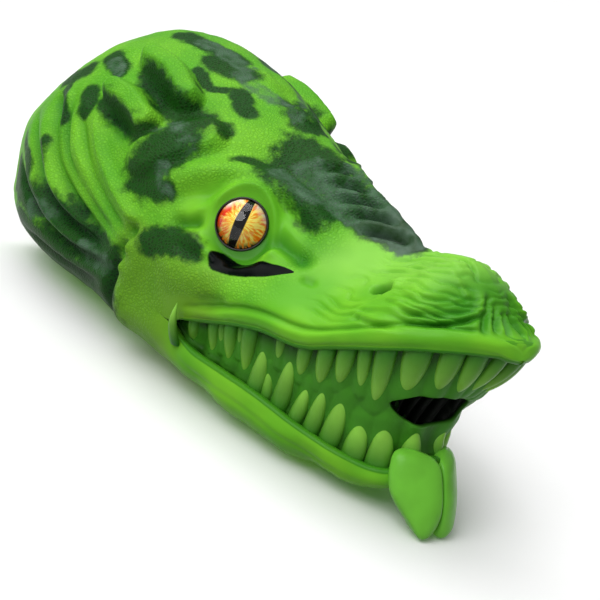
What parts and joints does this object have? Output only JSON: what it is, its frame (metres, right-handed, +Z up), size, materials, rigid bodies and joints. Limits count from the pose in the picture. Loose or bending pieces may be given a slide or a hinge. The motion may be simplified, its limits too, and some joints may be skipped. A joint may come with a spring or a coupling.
{
  "type": "moving mouth hand puppet",
  "caption": "Hollow soft-rubber hand puppet: a monster reptile's head with an open toothed mouth, glass eyes and a jaw that opens and shuts.",
  "frame": {"origin": "on the floor, under the middle of the head's length and width", "axes": "+X out of the snout, +Y to the creature's left, +Z up, as the puppet rests on its neck and chin"},
  "size_m": [0.186, 0.09, 0.0894],
  "materials": {
    "neck_sleeve": "satin",
    "head_skin": "satin",
    "jaw_skin": "satin",
    "throat_skin": "satin",
    "mouth_lining": "satin",
    "chin_lobe_left": "satin",
    "chin_lobe_right": "satin",
    "upper_teeth_left": "satin",
    "upper_teeth_right": "satin",
    "lower_teeth_left": "satin",
    "lower_teeth_right": "satin",
    "eye_dome_left": "polished",
    "eye_dome_right": "polished",
    "eye_iris_left": "printed, matt",
    "eye_iris_right": "printed, matt",
    "eye_seat_left": "black glue, gloss",
    "eye_seat_right": "black glue, gloss"
  },
  "bodies": {
    "head": {"neck_sleeve": "neck_sleeve", "head_skin": "head_skin", "throat_skin": "throat_skin", "mouth_lining": "mouth_lining", "upper_teeth_left": "upper_teeth_left", "upper_teeth_right": "upper_teeth_right", "eye_dome_left": "eye_dome_left", "eye_dome_right": "eye_dome_right", "eye_iris_left": "eye_iris_left", "eye_iris_right": "eye_iris_right", "eye_seat_left": "eye_seat_left", "eye_seat_right": "eye_seat_right"},
    "jaw": {"jaw_skin": "jaw_skin", "lower_teeth_left": "lower_teeth_left", "lower_teeth_right": "lower_teeth_right", "chin_lobe_left": "chin_lobe_left", "chin_lobe_right": "chin_lobe_right"}
  },
  "joints": [
    {"name": "jaw_hinge", "type": "hinge", "parent": "head", "child": "jaw", "pos_m": [0.0045, 0, 0.0205], "axis": [0, 1, 0], "range_deg": [-5, 14], "stiffness_Nm_per_rad": 1.8, "deforming": ["throat_skin", "mouth_lining"]}
  ]
}
